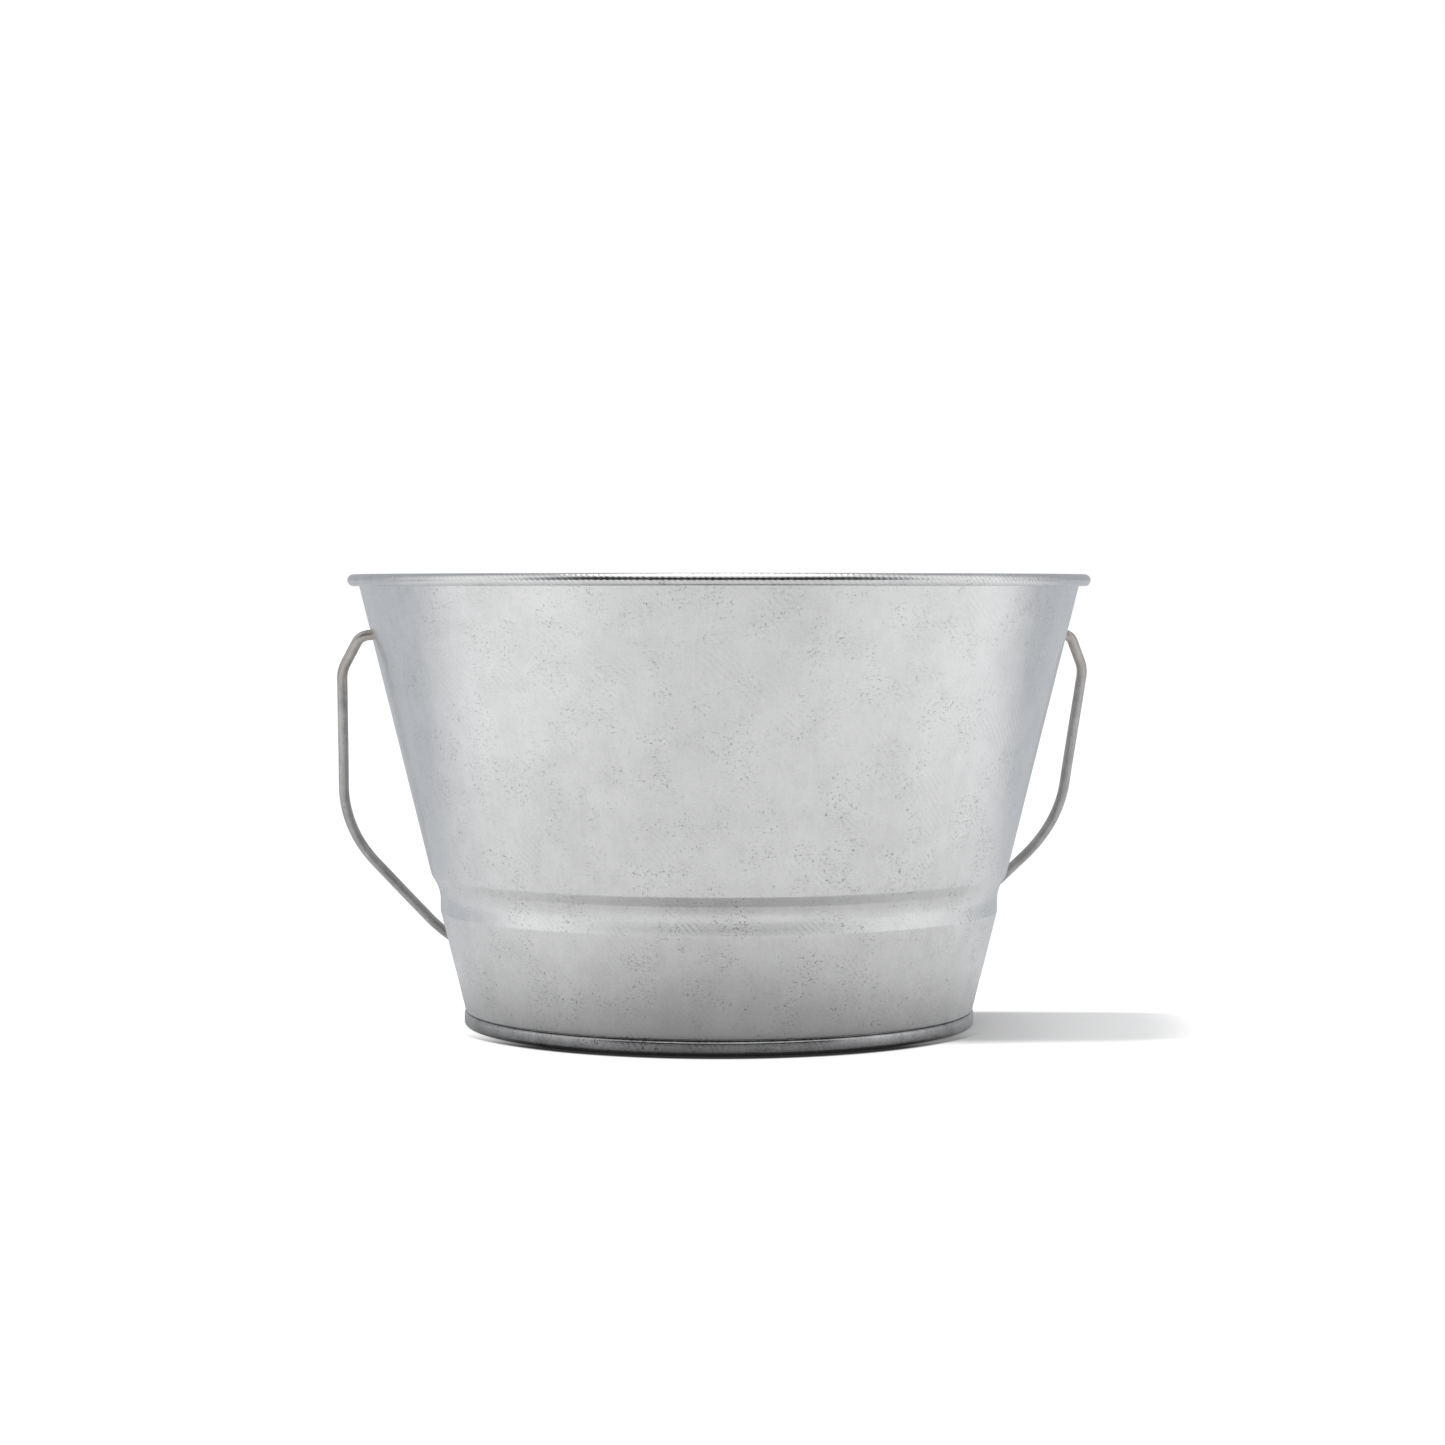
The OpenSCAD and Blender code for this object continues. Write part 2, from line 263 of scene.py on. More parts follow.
def in_millimetres(tree):
    """Places on the piece, in millimetres."""
    place = add(tree, "TexCoord").outputs["Object"]
    return add(tree, "VectorMath", {0: place, "Scale": 1 / MM}, operation="SCALE").outputs[0]


def emboss(tree, shader, relief, depth):
    """Raises the relief from the surface by up to depth millimetres."""
    bump = add(tree, "Bump", {"Height": relief, "Distance": depth * MM})
    tree.links.new(bump.outputs[0], shader.inputs["Normal"])


def galvanised(name, dark, bright):
    """Zinc on rolled steel: clouded between two tones, with specks, dashes and chatter marks."""
    finish, tree, shader = new_finish(name, Metallic=1.0)
    place = in_millimetres(tree)
    x, y, height = add(tree, "SeparateXYZ", {0: place}).outputs
    turn = add(tree, "Math", {0: x, 1: times(tree, y, -1.0)}, operation="ARCTAN2")
    around = times(tree, turn, MEAN_RADIUS)
    unrolled = add(tree, "CombineXYZ", {0: around, 1: height})
    drawn_down = add(tree, "CombineXYZ", {0: around, 1: times(tree, height, 0.12)})
    dashed = add(tree, "CombineXYZ", {0: around, 1: times(tree, height, 0.4)})
    laid_over = add(tree, "CombineXYZ", {0: times(tree, around, 0.22), 1: height})

    clouds = grain(tree, place, 24, 3, 0.55, 0.4)
    patches = grain(tree, place, 5, 5, 0.7)
    streaks = grain(tree, drawn_down, 1.1, 3, 0.6)
    fine = grain(tree, unrolled, 0.45, 2, 0.8)
    speck_patches = between(tree, grain(tree, place, 8, 3, 0.6), 0.45, 0.62, 0.2, 1.0)
    specks = between(tree, grain(tree, place, 0.55, 1), 0.64, 0.73)
    dashes = between(tree, grain(tree, dashed, 0.42, 1), 0.65, 0.74)
    scuffs = between(tree, grain(tree, laid_over, 0.40, 2), 0.56, 0.74)
    marks = larger(tree, specks, dashes)
    marks = times(tree, total(tree, (marks, 1.0), (scuffs, 0.5)), speck_patches)
    marks = times(tree, marks, between(tree, height, 85, 30, 0.75, 1.1))

    chatter = slanting_lines(tree, unrolled, 0.36, 3.5, 2.0, 0.4)
    chatter = times(tree, chatter, between(tree, grain(tree, unrolled, 13, 1), 0.50, 0.66))
    on_bead = between(tree, height, BUCKET_HEIGHT - 2.9, BUCKET_HEIGHT - 2.2)
    ripple = times(tree, slanting_lines(tree, unrolled, 0.55, 1.5, 1.0, 0.5), on_bead)

    tone = total(tree, (clouds, 0.32), (patches, 0.28), (streaks, 0.12), (fine, 0.28))
    tone = total(tree, (tone, 1.0), (chatter, -0.05), (ripple, -0.12))
    zinc = colours(tree, between(tree, tone, 0.36, 0.62), dark, bright)
    zinc = colours(tree, marks, zinc, [0.5 * part for part in dark[:3]] + [1])
    tree.links.new(zinc, shader.inputs["Base Color"])
    dull = total(tree, (clouds, 0.4), (patches, 0.3), (streaks, 0.3))
    tree.links.new(between(tree, dull, 0.3, 0.7, 0.19, 0.28), shader.inputs["Roughness"])
    relief = total(tree, (fine, 0.6), (streaks, 0.15), (patches, 0.7), (marks, -0.6), (chatter, 0.8),
                   (ripple, 1.1))
    emboss(tree, shader, relief, 0.012)
    return finish


# The pressed step from its foot up: an upright band, a hollow, an edge and the shoulder
step_corners = [
    [wall_radius(STEP_FOOT), STEP_FOOT, FOOT_BEND],
    [wall_radius(STEP_CORNER) - CORNER_DEPTH, STEP_CORNER, CORNER_BEND],
    [wall_radius(STEP_BREAK) - BREAK_DEPTH, STEP_BREAK, BREAK_BEND],
    [wall_radius(STEP_TOP), STEP_TOP, TOP_BEND],
]
bead_start = 180 - math.degrees(taper)
wall_path = spaced(np.vstack([
    [[wall_hook, hook_high - SEAM_GAP]],
    arc([pan_hook, hook_low], LAYER, 0, -180, 8),
    bends([
        [wall_foot, hook_low],
        [wall_foot, neck, NECK_BEND],
        [*cone_foot, CONE_BEND],
        *step_corners,
        bead_centre + bead_middle * np.array([-math.cos(taper), math.sin(taper)]),
    ]),
    arc(bead_centre, bead_middle, bead_start, bead_start - BEAD_TURN, 40),
]), 2.0)
path_rows = len(wall_path)
section = np.vstack([beside(wall_path, -SHEET / 2), beside(wall_path, SHEET / 2)[::-1]])
outside = np.arange(len(section)) < path_rows

# Columns stand a degree apart, but closer, and straight up, where the lock seam is
lock_edge = LOCK_WIDTH / 2 + np.array([-1.5, -0.6, -0.3, -0.1, 0, 0.1, 0.4, 0.9])
aside = np.concatenate([-lock_edge[::-1], [0], lock_edge])
degree_columns = np.radians(np.arange(5, 355.5, 1))
on_lock = np.arcsin(aside[:, None] / section[:, 0])
turns = np.vstack([on_lock, np.repeat(degree_columns[:, None], len(section), 1)])
heights = np.broadcast_to(section[:, 1], turns.shape)
radii = section[:, 0] + hand_dents(turns, heights)

lock_shape = 1 - smooth(np.abs(aside), LOCK_WIDTH / 2 - 0.3, LOCK_WIDTH / 2)
lock_shape -= 0.15 * smooth(aside, 0.9, 1.6) * (1 - smooth(aside, 1.6, 2.2))
lock_reach = smooth(section[:, 1], neck + 0.7, neck + 1.4)
lock_reach *= 1 - smooth(section[:, 1], LOCK_TOP, LOCK_TOP + 1.3)
radii[:len(aside)] += LOCK_RISE * lock_shape[:, None] * lock_reach * np.where(outside, 1, 0.2)

wall_points = np.stack([-radii * np.sin(turns), radii * np.cos(turns), heights], 2)
wall_points = wall_points.reshape(-1, 3).tolist()
columns, rows = turns.shape

# Round each bail hole a patch of the grid gives way to rings that close in on the hole
HOLE_COLUMNS = 3
inside_bead = wall_path[:, 0] < RIM_RADIUS - 2.5
near_hole = np.flatnonzero((np.abs(wall_path[:, 1] - PIVOT_HEIGHT) < 4) & inside_bead)
hole_low, hole_high = near_hole[0], near_hole[-1]
left_out, hole_faces = set(), []
for quarter in (90, 270):
    middle = len(aside) + int(np.argmin(np.abs(degree_columns - math.radians(quarter))))
    first, last = middle - HOLE_COLUMNS, middle + HOLE_COLUMNS
    side = -1 if quarter == 90 else 1
    for c in range(first, last):
        left_out |= {(c, r) for r in range(hole_low, hole_high)}
        left_out |= {(c, 2 * path_rows - 2 - r) for r in range(hole_low, hole_high)}
    border = [(c, hole_low) for c in range(first, last)]
    border += [(last, r) for r in range(hole_low, hole_high)]
    border += [(c, hole_high) for c in range(last, first, -1)]
    border += [(first, r) for r in range(hole_high, hole_low, -1)]
    hole_edges = []
    for face in (1, -1):
        ring = [c * rows + (r if face == 1 else 2 * path_rows - 1 - r) for c, r in border]
        flat = np.array([wall_points[v][1:] for v in ring])
        out = flat - [0, PIVOT_HEIGHT]
        hole = [0, PIVOT_HEIGHT] + BAIL_HOLE_RADIUS * out / np.linalg.norm(out, axis=1)[:, None]
        for share, sink in ((0.3, 0), (0.6, 0), (0.82, 0), (0.94, 0.02), (1, 0.12)):
            at = flat + (hole - flat) * share
            radius = wall_radius(at[:, 1]) + face * (SHEET / 2 / math.cos(taper) - sink)
            depth = side * np.sqrt(radius**2 - at[:, 0]**2)
            inner_ring = list(range(len(wall_points), len(wall_points) + len(ring)))
            wall_points += np.column_stack([depth, at]).tolist()
            ring_on, inner_on = ring[1:] + ring[:1], inner_ring[1:] + inner_ring[:1]
            hole_faces += zip(ring, ring_on, inner_on, inner_ring)
            ring = inner_ring
        hole_edges.append(ring)
    outer_edge, inner_edge = hole_edges
    outer_on, inner_on = outer_edge[1:] + outer_edge[:1], inner_edge[1:] + inner_edge[:1]
    hole_faces += zip(outer_edge, outer_on, inner_on, inner_edge)

galvanised_sheet = galvanised("galvanised_sheet", (0.70, 0.70, 0.70, 1), (0.83, 0.83, 0.83, 1))
wall = surface("galvanised_wall", wall_points, faces_round(columns, rows, left_out) + hole_faces,
               galvanised_sheet)
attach(wall, "bucket")
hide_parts("bucket_wall")

# The base pan
# A disc of the same sheet with a ring pressed up in it. Its edge turns down, out and up
# over the hook of the wall's foot, and the layers are rolled tight into a double seam.
PANEL_HEIGHT = 3.2
PAN_BEND = 0.6
RING_INSET = 12
RING_WIDTH = 6
RING_RISE = 0.8
RING_BEND = 0.8
ring_outer = pan_inner - RING_INSET
ring_inner = ring_outer - RING_WIDTH
ring_slope = 2 * RING_RISE
panel_corners = [
    [ring_outer, PANEL_HEIGHT, RING_BEND],
    [ring_outer - ring_slope, PANEL_HEIGHT + RING_RISE, RING_BEND],
    [ring_inner + ring_slope, PANEL_HEIGHT + RING_RISE, RING_BEND],
    [ring_inner, PANEL_HEIGHT, RING_BEND],
]
pan_path = spaced(np.vstack([
    [[pan_hook, hook_low + SEAM_GAP]],
    arc([wall_hook, hook_high], LAYER, 180, 0, 10),
    bends([
        [pan_outer, hook_high],
        [pan_outer, SHEET / 2, PAN_BEND],
        [pan_inner, SHEET / 2, PAN_BEND],
        [pan_inner, PANEL_HEIGHT, PAN_BEND],
        *panel_corners,
        [0, PANEL_HEIGHT],
    ]),
]), 2.5)


def turned(outline, count):
    """Points and faces of an outline turned round the axis, closed there where it reaches it."""
    turn = np.radians(np.arange(count) * 360 / count)
    points = np.stack([
        -np.outer(np.sin(turn), outline[:, 0]),
        np.outer(np.cos(turn), outline[:, 0]),
        np.broadcast_to(outline[:, 1], (count, len(outline))),
    ], 2).reshape(-1, 3)
    on_axis = (np.abs(outline[:, 0]) < 1e-9) & (np.abs(np.roll(outline[:, 0], -1)) < 1e-9)
    left_out = {(c, r) for c in range(count) for r in np.flatnonzero(on_axis)}
    return points, faces_round(count, len(outline), left_out)


pan_outline = np.vstack([beside(pan_path, SHEET / 2), beside(pan_path, -SHEET / 2)[::-1]])
# The pan's zinc is toned far darker than the wall's: painted shade, standing in for the dark floor
# round the foot that its chime mirrors
shade_painted_sheet = galvanised("shade_painted_sheet", (0.28, 0.28, 0.285, 1), (0.56, 0.56, 0.565, 1))
pan = surface("galvanised_base_pan", *turned(pan_outline, 360), shade_painted_sheet)
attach(pan, "bucket")
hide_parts("base_pan")

# The bail
# Hard-drawn steel wire with a dull zinc coat, bent on formers to a wide bow. Each end
# goes in through the wall and turns down in a short hook, and so turns in its hole.
WIRE = 2.5
REACH_SPARE = 20.5
LEG_LENGTH = 47
KNEE_RADIUS = 43
KNEE_TURN = 35.5
HAUNCH_RADIUS = 45
CROWN_RADIUS = 160
SHOULDER_RADIUS = 3.4
SHOULDER_LEAN = 23
ELBOW_RADIUS = 12
TAIL_GAP = 2.6
TAIL_LENGTH = 7
HOOK_RADIUS = 2.4
FLOOR_GAP = 0.3
WIRE_SIDES = 24

reach = PIVOT_HEIGHT + REACH_SPARE
lean = math.radians(SHOULDER_LEAN)
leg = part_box("bail_handle")[1].x / MM - WIRE / 2
tail = wall_radius(PIVOT_HEIGHT) - SHEET / 2 / math.cos(taper) - TAIL_GAP - WIRE / 2
knee = np.array([leg - KNEE_RADIUS, LEG_LENGTH])
crown = np.array([0, reach - CROWN_RADIUS])
knee_out = np.array([math.cos(math.radians(KNEE_TURN)), math.sin(math.radians(KNEE_TURN))])
slant = np.array([-knee_out[1], knee_out[0]])
haunch = knee + (KNEE_RADIUS - HAUNCH_RADIUS) * knee_out
along = (haunch - crown) @ slant
off_crown = (haunch - crown) @ knee_out
haunch = haunch + (math.sqrt((CROWN_RADIUS - HAUNCH_RADIUS)**2 - off_crown**2) - along) * slant
crown_turn = math.degrees(math.atan2(*(haunch - crown)[::-1]))
elbow = BUCKET_HEIGHT - PIVOT_HEIGHT - BEAD_RADIUS
elbow_start = np.array([leg, elbow]) - ELBOW_RADIUS * np.array([1 - math.cos(lean), math.sin(lean)])
shoulder_end = SHOULDER_RADIUS * (1 - math.sin(lean))
shoulder = elbow_start[0] - (elbow_start[1] - shoulder_end) * math.tan(lean)
shoulder -= SHOULDER_RADIUS * math.cos(lean)

half_bail = np.vstack([
    [[tail, TAIL_LENGTH]],
    arc([tail + HOOK_RADIUS, HOOK_RADIUS], HOOK_RADIUS, 180, 270, 10),
    arc([shoulder, SHOULDER_RADIUS], SHOULDER_RADIUS, -90, -SHOULDER_LEAN, 8),
    arc([leg - ELBOW_RADIUS, elbow], ELBOW_RADIUS, -SHOULDER_LEAN, 0, 6),
    arc(knee, KNEE_RADIUS, 0, KNEE_TURN, 20),
    arc(haunch, HAUNCH_RADIUS, KNEE_TURN, crown_turn, 24),
    arc(crown, CROWN_RADIUS, crown_turn, 90, 30),
])
bail_line = spaced(np.vstack([half_bail, half_bail[-2::-1] * [-1, 1]]), 1.0)
hang = math.acos((PIVOT_HEIGHT - WIRE / 2 - FLOOR_GAP) / reach)


def swept(line, radius, sides):
    """Points and faces of a round bar along a line, and its points with the bar laid straight."""
    line = np.array(line)
    along = np.gradient(line, axis=0)
    along /= np.linalg.norm(along, axis=1)[:, None]
    across = Vector(along[0]).orthogonal().normalized()
    length, rings, straight = 0, [], []
    turn = np.arange(sides) * math.tau / sides
    for i, (here, ahead) in enumerate(zip(line, along)):
        length += np.linalg.norm(here - line[i - 1]) if i else 0
        across = (across - Vector(ahead) * across.dot(Vector(ahead))).normalized()
        up = Vector(ahead).cross(across)
        round_it = np.outer(np.cos(turn), across) + np.outer(np.sin(turn), up)
        rings.append(here + radius * round_it)
        straight += [(radius * math.cos(a), radius * math.sin(a), length) for a in turn]
    count = len(line)
    faces = [
        (r * sides + s, r * sides + (s + 1) % sides,
         (r + 1) * sides + (s + 1) % sides, (r + 1) * sides + s)
        for r in range(count - 1) for s in range(sides)
    ]
    faces += [tuple(range(sides)), tuple((count - 1) * sides + s for s in range(sides))]
    return np.vstack(rings), faces, straight


def lay_straight(piece, straight):
    """Keeps where each point lay on the straight bar, for a grain that follows its length."""
    kept = piece.data.attributes.new("straight", "FLOAT_VECTOR", "POINT")
    kept.data.foreach_set("vector", np.array(straight, float).ravel())


def drawn_wire(name):
    """Dull zinc on drawn wire: draw lines along it, blotches, and a browner coat near its ends."""
    finish, tree, shader = new_finish(name, Metallic=1.0)
    straight = add(tree, "Attribute", attribute_name="straight").outputs["Vector"]
    lines = add(tree, "VectorMath", {0: straight, 1: (1, 1, 0.04)}, operation="MULTIPLY").outputs[0]
    draw_lines = grain(tree, lines, 0.5, 2, 0.6)
    blotches = grain(tree, straight, 5, 3, 0.6)
    pits = between(tree, grain(tree, straight, 0.7, 2), 0.62, 0.75)
    height = add(tree, "SeparateXYZ", {0: in_millimetres(tree)}).outputs[2]
    near_end = between(tree, height, 78, 90)
    tone = total(tree, (draw_lines, 0.4), (blotches, 0.6), (pits, -0.3))
    tone = between(tree, tone, 0.3, 0.7)
    grey = colours(tree, tone, (0.42, 0.412, 0.40, 1), (0.65, 0.637, 0.618, 1))
    brown = colours(tree, tone, (0.42, 0.388, 0.36, 1), (0.65, 0.61, 0.572, 1))
    tree.links.new(colours(tree, near_end, grey, brown), shader.inputs["Base Color"])
    tree.links.new(between(tree, blotches, 0.3, 0.7, 0.36, 0.52), shader.inputs["Roughness"])
    emboss(tree, shader, total(tree, (draw_lines, 1.0), (blotches, 0.8), (pits, -1.0)), 0.015)
    return finish


# Drawn wire is never quite straight, but its hooks and the stretch past the rim are true
TRUE_TO = 24
WAVER = 0.08
sway = WAVER * smooth(bail_line[:, 1], TRUE_TO, TRUE_TO + 16)
bail_line[:, 0] += sway * [noise.noise(Vector((u / 17, v / 17, 1))) for u, v in bail_line]
drop = bail_line[:, 1]
lift = sway * [noise.noise(Vector((u / 23, v / 23, 8))) for u, v in bail_line]
bail_points, bail_faces, straight = swept(np.column_stack([
    bail_line[:, 0],
    drop * math.sin(hang) + lift * math.cos(hang),
    PIVOT_HEIGHT - drop * math.cos(hang) + lift * math.sin(hang),
]), WIRE / 2, WIRE_SIDES)
bail = surface("wire_bail", bail_points, bail_faces, drawn_wire("zinc_wire"))
lay_straight(bail, straight)
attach(bail, "bail")
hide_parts("bail_handle")

# The wick clips
# Three small stamped feet of bright tin plate under the wax, each with a neck drawn up
# from its disc and pinched round a wick.
tin_plate, tree, shader = new_finish("tin_plate", Metallic=1.0)
place = in_millimetres(tree)
rolling = add(tree, "VectorMath", {0: place, 1: (1, 0.06, 1)}, operation="MULTIPLY").outputs[0]
rolled = grain(tree, rolling, 0.4, 2)
stains = grain(tree, place, 4, 3)
tin = colours(tree, between(tree, stains, 0.3, 0.7), (0.62, 0.62, 0.61, 1), (0.80, 0.80, 0.79, 1))
tree.links.new(tin, shader.inputs["Base Color"])
tree.links.new(between(tree, rolled, 0.3, 0.7, 0.18, 0.32), shader.inputs["Roughness"])
emboss(tree, shader, rolled, 0.006)
for number in (1, 2, 3):
    clip = frame["nodes"][f"wick_clip_{number}"]
    clip.data.materials.clear()
    clip.data.materials.append(tin_plate)

# The wicks
# Three plaited cotton cords, waxed stiff, standing on a circle round the middle. Each runs
# from its tin foot up through the wax and stands a little way out of it.
STRAND = 0.43
PLAIT_WIDTH = 0.78
PLAIT_DEPTH = 0.36
PLAIT_LENGTH = 5.2
MENISCUS = 2.5
EDGE_TURN = -20
edge_rise = MENISCUS * (1 + math.sin(math.radians(EDGE_TURN)))
wax_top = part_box("wax_fill")[1].z / MM - edge_rise
wick_low, wick_high = (corner.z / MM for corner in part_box("wick_1"))


def wick_place(number):
    """Where a wick stands, from the bucket's axis."""
    low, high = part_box(f"wick_{number}")
    return np.array([(low.x + high.x) / 2 / MM, (low.y + high.y) / 2 / MM])


cotton_plait, tree, shader = new_finish("cotton_plait", Subsurface_Weight=0.25,
                                        Subsurface_Scale=0.4 * MM, Sheen_Weight=0.3,
                                        Sheen_Roughness=0.5)
straight = add(tree, "Attribute", attribute_name="straight").outputs["Vector"]
yarn_twist = slanting_lines(tree, straight, 1.1, 1.5, 2.0, 2.0)
fibres = grain(tree, straight, 0.12, 2, 0.7)
waxed = grain(tree, straight, 1.8, 2)
tone = total(tree, (yarn_twist, 0.4), (fibres, 0.3), (waxed, 0.3))
cream = colours(tree, between(tree, tone, 0.2, 0.8), (0.76, 0.71, 0.58, 1), (0.93, 0.90, 0.82, 1))
tree.links.new(cream, shader.inputs["Base Color"])
tree.links.new(between(tree, waxed, 0.35, 0.65, 0.55, 0.9), shader.inputs["Roughness"])
emboss(tree, shader, total(tree, (yarn_twist, 1.0), (fibres, 0.6)), 0.05)

buried = np.arange(wick_low + STRAND, wax_top - 2, 0.9)
shown = np.linspace(wax_top - 2, wick_high - 0.1, 50)
level = np.concatenate([buried, shown])
for number in (1, 2, 3):
    foot_x, foot_y = wick_place(number)
    plait = math.tau * level / PLAIT_LENGTH
    curl = 0.35 * smooth(level, wax_top + 2, wick_high)
    facing = math.radians(35 + 70 * number)
    wick_points, wick_faces, wick_straight = [], [], []
    for strand in range(3):
        phase = plait + strand * math.tau / 3
        swing = PLAIT_WIDTH * np.sin(phase)
        weave = PLAIT_DEPTH * np.sin(2 * phase)
        points, strand_faces, straight = swept(np.column_stack([
            foot_x + swing * math.cos(facing) - weave * math.sin(facing) + curl * math.sin(3 * number),
            foot_y + swing * math.sin(facing) + weave * math.cos(facing) + curl * math.cos(3 * number),
            level,
        ]), STRAND, 12)
        wick_faces += [tuple(len(wick_points) + v for v in face) for face in strand_faces]
        wick_points += points.tolist()
        wick_straight += straight
    wick = surface(f"plaited_wick_{number}", wick_points, wick_faces, cotton_plait)
    lay_straight(wick, wick_straight)
    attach(wick, "bucket")
    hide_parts(f"wick_{number}")

# The wax
# Pale yellow citronella wax, poured warm over the tin feet. It has set smooth with a low
# collar round each wick, and climbs the wall where it wetted the zinc.
WAX_GAP = 0.1
wax_off = SHEET / 2 + WAX_GAP
edge_height = wax_top + edge_rise
edge_radius = wall_radius(edge_height) - wax_off / math.cos(taper)
low_edge = neck + wax_off
panel_line = bends([[pan_inner, PANEL_HEIGHT], *panel_corners, [0, PANEL_HEIGHT]])
wax_wall = beside(bends([
    [wall_radius(low_edge), low_edge],
    *step_corners,
    [wall_radius(wax_top), wax_top],
]), wax_off)
beyond_wicks = np.arange(71, 36, -1.0)
by_wicks = np.arange(36, 24, -0.4)
within = np.arange(24, 1, -1.2)
top_radii = np.concatenate([beyond_wicks, by_wicks, within, [0]])
wax_outline = np.vstack([
    beside(panel_line, -wax_off)[:0:-1],
    [[wall_foot - wax_off, PANEL_HEIGHT + wax_off], [wall_foot - wax_off, low_edge]],
    spaced(wax_wall, 2.5),
    arc([edge_radius - MENISCUS * math.cos(math.radians(EDGE_TURN)), wax_top + MENISCUS],
        MENISCUS, EDGE_TURN, -90, 8),
    np.column_stack([top_radii, np.full(len(top_radii), wax_top)]),
])
wax_points, wax_faces = turned(wax_outline, 360)
turn = np.arctan2(-wax_points[:, 0], wax_points[:, 1])
radius = np.hypot(wax_points[:, 0], wax_points[:, 1])
at_wall = smooth(radius - wall_radius(wax_points[:, 2]), -2.0, -1.2) * (wax_points[:, 2] > DENTS_FROM)
dented = at_wall * hand_dents(turn, wax_points[:, 2])
wax_points[:, :2] *= (1 + dented / np.maximum(radius, 1))[:, None]

# The top is slightly uneven, with a collar and a shallow sink round each wick
on_top = (wax_points[:, 2] > wax_top - 0.01) * (1 - smooth(radius, 66, 71))
uneven = [0.18 * noise.noise(Vector((x / 22, y / 22, 3))) for x, y in wax_points[:, :2]]
wax_points[:, 2] += on_top * uneven
for number in (1, 2, 3):
    away = np.linalg.norm(wax_points[:, :2] - wick_place(number), axis=1)
    collar = 0.9 * np.exp(-np.maximum(away - 1, 0) / 0.9)
    sink = 0.25 * np.exp(-(away / 7)**2)
    wax_points[:, 2] += on_top * (collar - sink)

candle_wax, tree, shader = new_finish("candle_wax", Subsurface_Weight=0.7, Subsurface_Scale=2.5 * MM,
                                      Subsurface_Radius=(1.0, 0.75, 0.35), IOR=1.44)
place = in_millimetres(tree)
frost = grain(tree, place, 9, 4, 0.65, 0.6)
skin = grain(tree, place, 1.3, 3, 0.6)
swirls = grain(tree, place, 18, 2, 0.5, 1.5)
tone = total(tree, (frost, 0.6), (swirls, 0.4))
yellow = colours(tree, between(tree, tone, 0.3, 0.7), (0.80, 0.69, 0.40, 1), (0.88, 0.80, 0.55, 1))
tree.links.new(yellow, shader.inputs["Base Color"])
tree.links.new(between(tree, frost, 0.3, 0.7, 0.32, 0.55), shader.inputs["Roughness"])
emboss(tree, shader, total(tree, (swirls, 1.0), (skin, 0.12), (frost, 0.3)), 0.25)

wax = surface("poured_wax", wax_points, wax_faces, candle_wax)
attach(wax, "bucket")
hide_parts("wax_fill")

# The floor and the studio
# A flat pale board, matt, which the camera sees as plain white but for the shade beside and under the
# foot, which is partly painted. A large soft lamp hangs overhead, in a pale room with a dark camera
# side.
CAMERA_YAW = math.radians(5.7)
FLOOR_REACH = 8000
FLOOR_FRONT = -540
floor_corners = [(-FLOOR_REACH, FLOOR_FRONT, 0), (FLOOR_REACH, FLOOR_FRONT, 0),
                 (FLOOR_REACH, FLOOR_REACH, 0), (-FLOOR_REACH, FLOOR_REACH, 0)]
white_board = bpy.data.materials.new("white_board")
white_board.use_nodes = True
tree = white_board.node_tree
tree.nodes.clear()
place = in_millimetres(tree)
x, y = add(tree, "SeparateXYZ", {0: place}).outputs[:2]
distance = add(tree, "VectorMath", {0: place}, operation="LENGTH").outputs["Value"]
forward = total(tree, (x, math.sin(CAMERA_YAW)), (y, math.cos(CAMERA_YAW)))
aside = add(tree, "Math", {0: x}, operation="ABSOLUTE").outputs[0]
# The board is painted lighter at the sides and darker, bluer behind: painted light and shade, standing
# in for lamps at the sides and a dim back of the room
board = colours(tree, between(tree, aside, 80, 240), (0.71, 0.71, 0.71, 1), (0.84, 0.84, 0.84, 1))
board = colours(tree, between(tree, y, -30, 190), board, (0.50, 0.515, 0.54, 1))
# Near the foot, most of all in front, the board is painted darker: painted shade, which the lower wall
# mirrors
near = colours(tree, between(tree, aside, 15, 85), (0.57, 0.57, 0.57, 1), (0.82, 0.82, 0.82, 1))
board = colours(tree, between(tree, distance, 125, 80), board, near)

# A dark line is set in the board under the front of the foot, where the two meet: a painted contact
# shadow, which also keeps none of the camera's lift
from_foot = add(tree, "VectorMath", {0: place, 1: (-0.2, -2, 0)}, operation="DISTANCE").outputs["Value"]
clear = larger(tree, between(tree, from_foot, 62.2, 64.8), between(tree, forward, -48, -18))
board = colours(tree, clear, (0.08, 0.08, 0.08, 1), board)

# The camera sees the board lifted to white, more so near the foot, which paints out the shade there,
# and less so in a fixed patch right of the foot, which is painted shade. Metal mirrors hardly any of
# that lift
shaded = times(tree, between(tree, x, 20, 56), between(tree, forward, -50, -28))
shaded = times(tree, shaded, between(tree, forward, 24, 12))
shaded = times(tree, shaded, between(tree, distance, 138, 94))
bright = between(tree, distance, 150, 90, 0.54, 0.74)
bright = times(tree, bright, between(tree, shaded, 0.0, 1.0, 1.0, 0.12))
rays = add(tree, "LightPath").outputs
mirrored = larger(tree, rays["Is Glossy Ray"], rays["Is Transmission Ray"])
white_lift = total(tree, (rays["Is Camera Ray"], times(tree, bright, clear)), (mirrored, 0.02))
matt = add(tree, "BsdfDiffuse", {"Color": board})
glow = add(tree, "Emission", {"Color": (1, 1, 1, 1), "Strength": white_lift})
both = add(tree, "AddShader", {0: matt, 1: glow})
add(tree, "OutputMaterial", {"Surface": both})
floor = surface("floor", floor_corners, [(0, 1, 2, 3)], white_board)

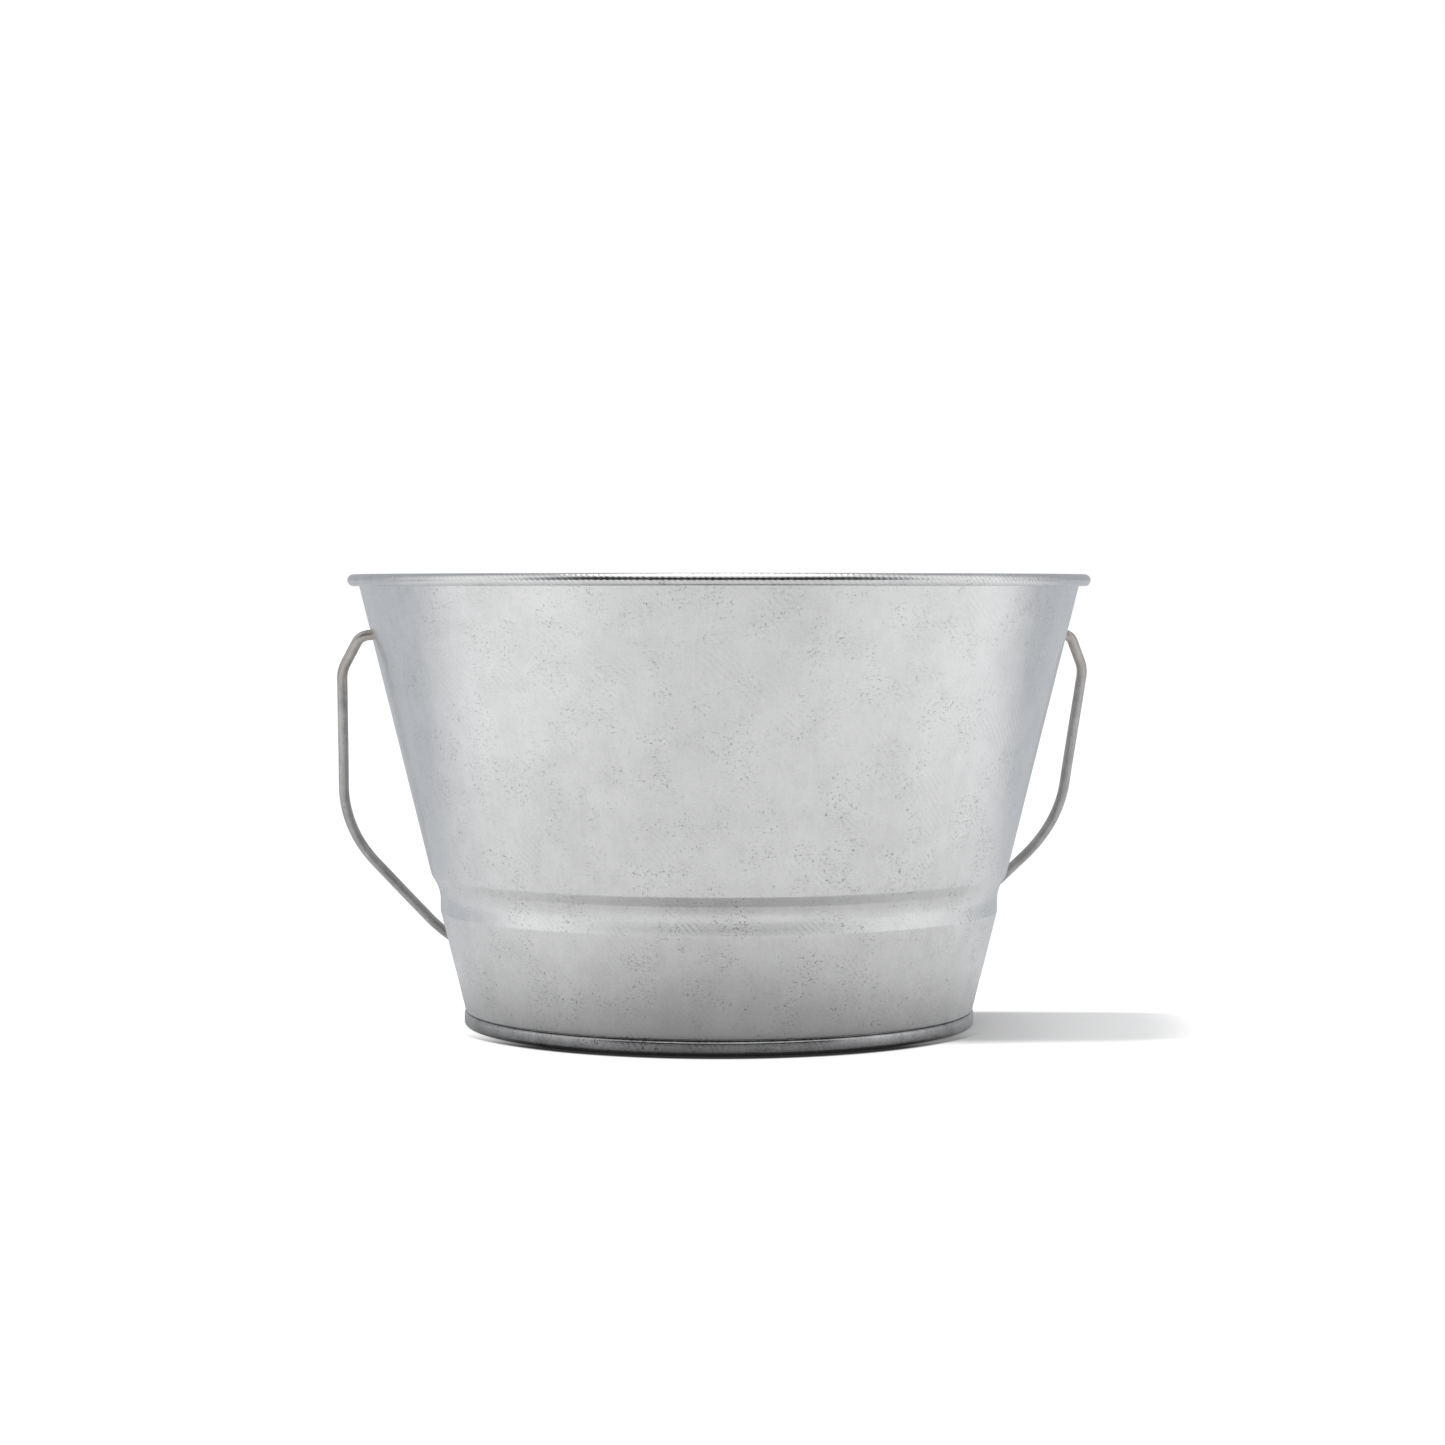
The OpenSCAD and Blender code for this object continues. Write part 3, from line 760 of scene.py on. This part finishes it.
# The camera sees the room as plain white. Metal mirrors it grey behind, pale at both sides,
# dark on the camera's side and white overhead, inside a dim ring.
studio = bpy.data.worlds.new("studio")
studio.use_nodes = True
bpy.context.scene.world = studio
tree = studio.node_tree
tree.nodes.clear()
towards = add(tree, "TexCoord").outputs["Generated"]
x, y, up = add(tree, "SeparateXYZ", {0: towards}).outputs
around = add(tree, "Math", {0: x, 1: times(tree, y, -1.0)}, operation="ARCTAN2").outputs[0]
off_camera = add(tree, "Math", {0: around, 1: -CAMERA_YAW}, operation="SUBTRACT").outputs[0]
off_camera = add(tree, "Math", {0: off_camera}, operation="ABSOLUTE").outputs[0]
at_sides = times(tree, between(tree, off_camera, 0.95, 1.25), between(tree, off_camera, 2.35, 1.45))
walls = colours(tree, at_sides, (0.46, 0.475, 0.50, 1), (1.0, 1.0, 1.0, 1))
walls = colours(tree, between(tree, off_camera, 1.0, 0.85), walls, (0.02, 0.02, 0.022, 1))
walls = colours(tree, between(tree, up, 0.75, 0.90), walls, (0.36, 0.36, 0.37, 1))
overhead = total(tree, (up, 0.94), (y, -0.34))
ceiling = colours(tree, between(tree, overhead, 0.79, 0.88), walls, (1.0, 1.0, 1.0, 1))
seen = add(tree, "LightPath").outputs["Is Camera Ray"]
room = colours(tree, seen, ceiling, (1, 1, 1, 1))
background = add(tree, "Background", {"Color": room})
add(tree, "OutputWorld", {"Surface": background})

KEY_HEIGHT = math.radians(87)
KEY_ENERGY = 1.4
KEY_SPREAD = math.radians(35)
key = bpy.data.objects.new("key_lamp", bpy.data.lights.new("key_lamp", "SUN"))
key.data.energy = KEY_ENERGY
key.data.angle = KEY_SPREAD
key_aside, key_behind = -0.2 * math.cos(KEY_HEIGHT), 0.98 * math.cos(KEY_HEIGHT)
key_from = Vector((key_aside, key_behind, math.sin(KEY_HEIGHT)))
key.rotation_euler = key_from.to_track_quat("Z", "Y").to_euler()
bpy.context.scene.collection.objects.link(key)

# The camera
# It stands 0.8 m in front of the bucket, turned a little to one side, about level with
# the rim, and looks slightly down.
CAMERA_PITCH = math.radians(2.32)
CAMERA_DISTANCE = 800
CAMERA_ASIDE = 0.84
CAMERA_HEIGHT = 104.7
CAMERA_LENS = 82.71
SENSOR_WIDTH = 36
heading = Vector((math.sin(CAMERA_YAW), math.cos(CAMERA_YAW), 0))
rightwards = Vector((math.cos(CAMERA_YAW), -math.sin(CAMERA_YAW), 0))
camera = bpy.data.objects.new("camera", bpy.data.cameras.new("camera"))
camera.data.sensor_width = SENSOR_WIDTH
camera.data.lens = CAMERA_LENS
stand = heading * -CAMERA_DISTANCE + rightwards * CAMERA_ASIDE + Vector((0, 0, CAMERA_HEIGHT))
camera.location = stand * MM
looking = heading * math.cos(CAMERA_PITCH) - Vector((0, 0, math.sin(CAMERA_PITCH)))
camera.rotation_euler = looking.to_track_quat("-Z", "Y").to_euler()
bpy.context.scene.collection.objects.link(camera)
bpy.context.scene.camera = camera
bpy.context.scene.view_settings.view_transform = "Standard"
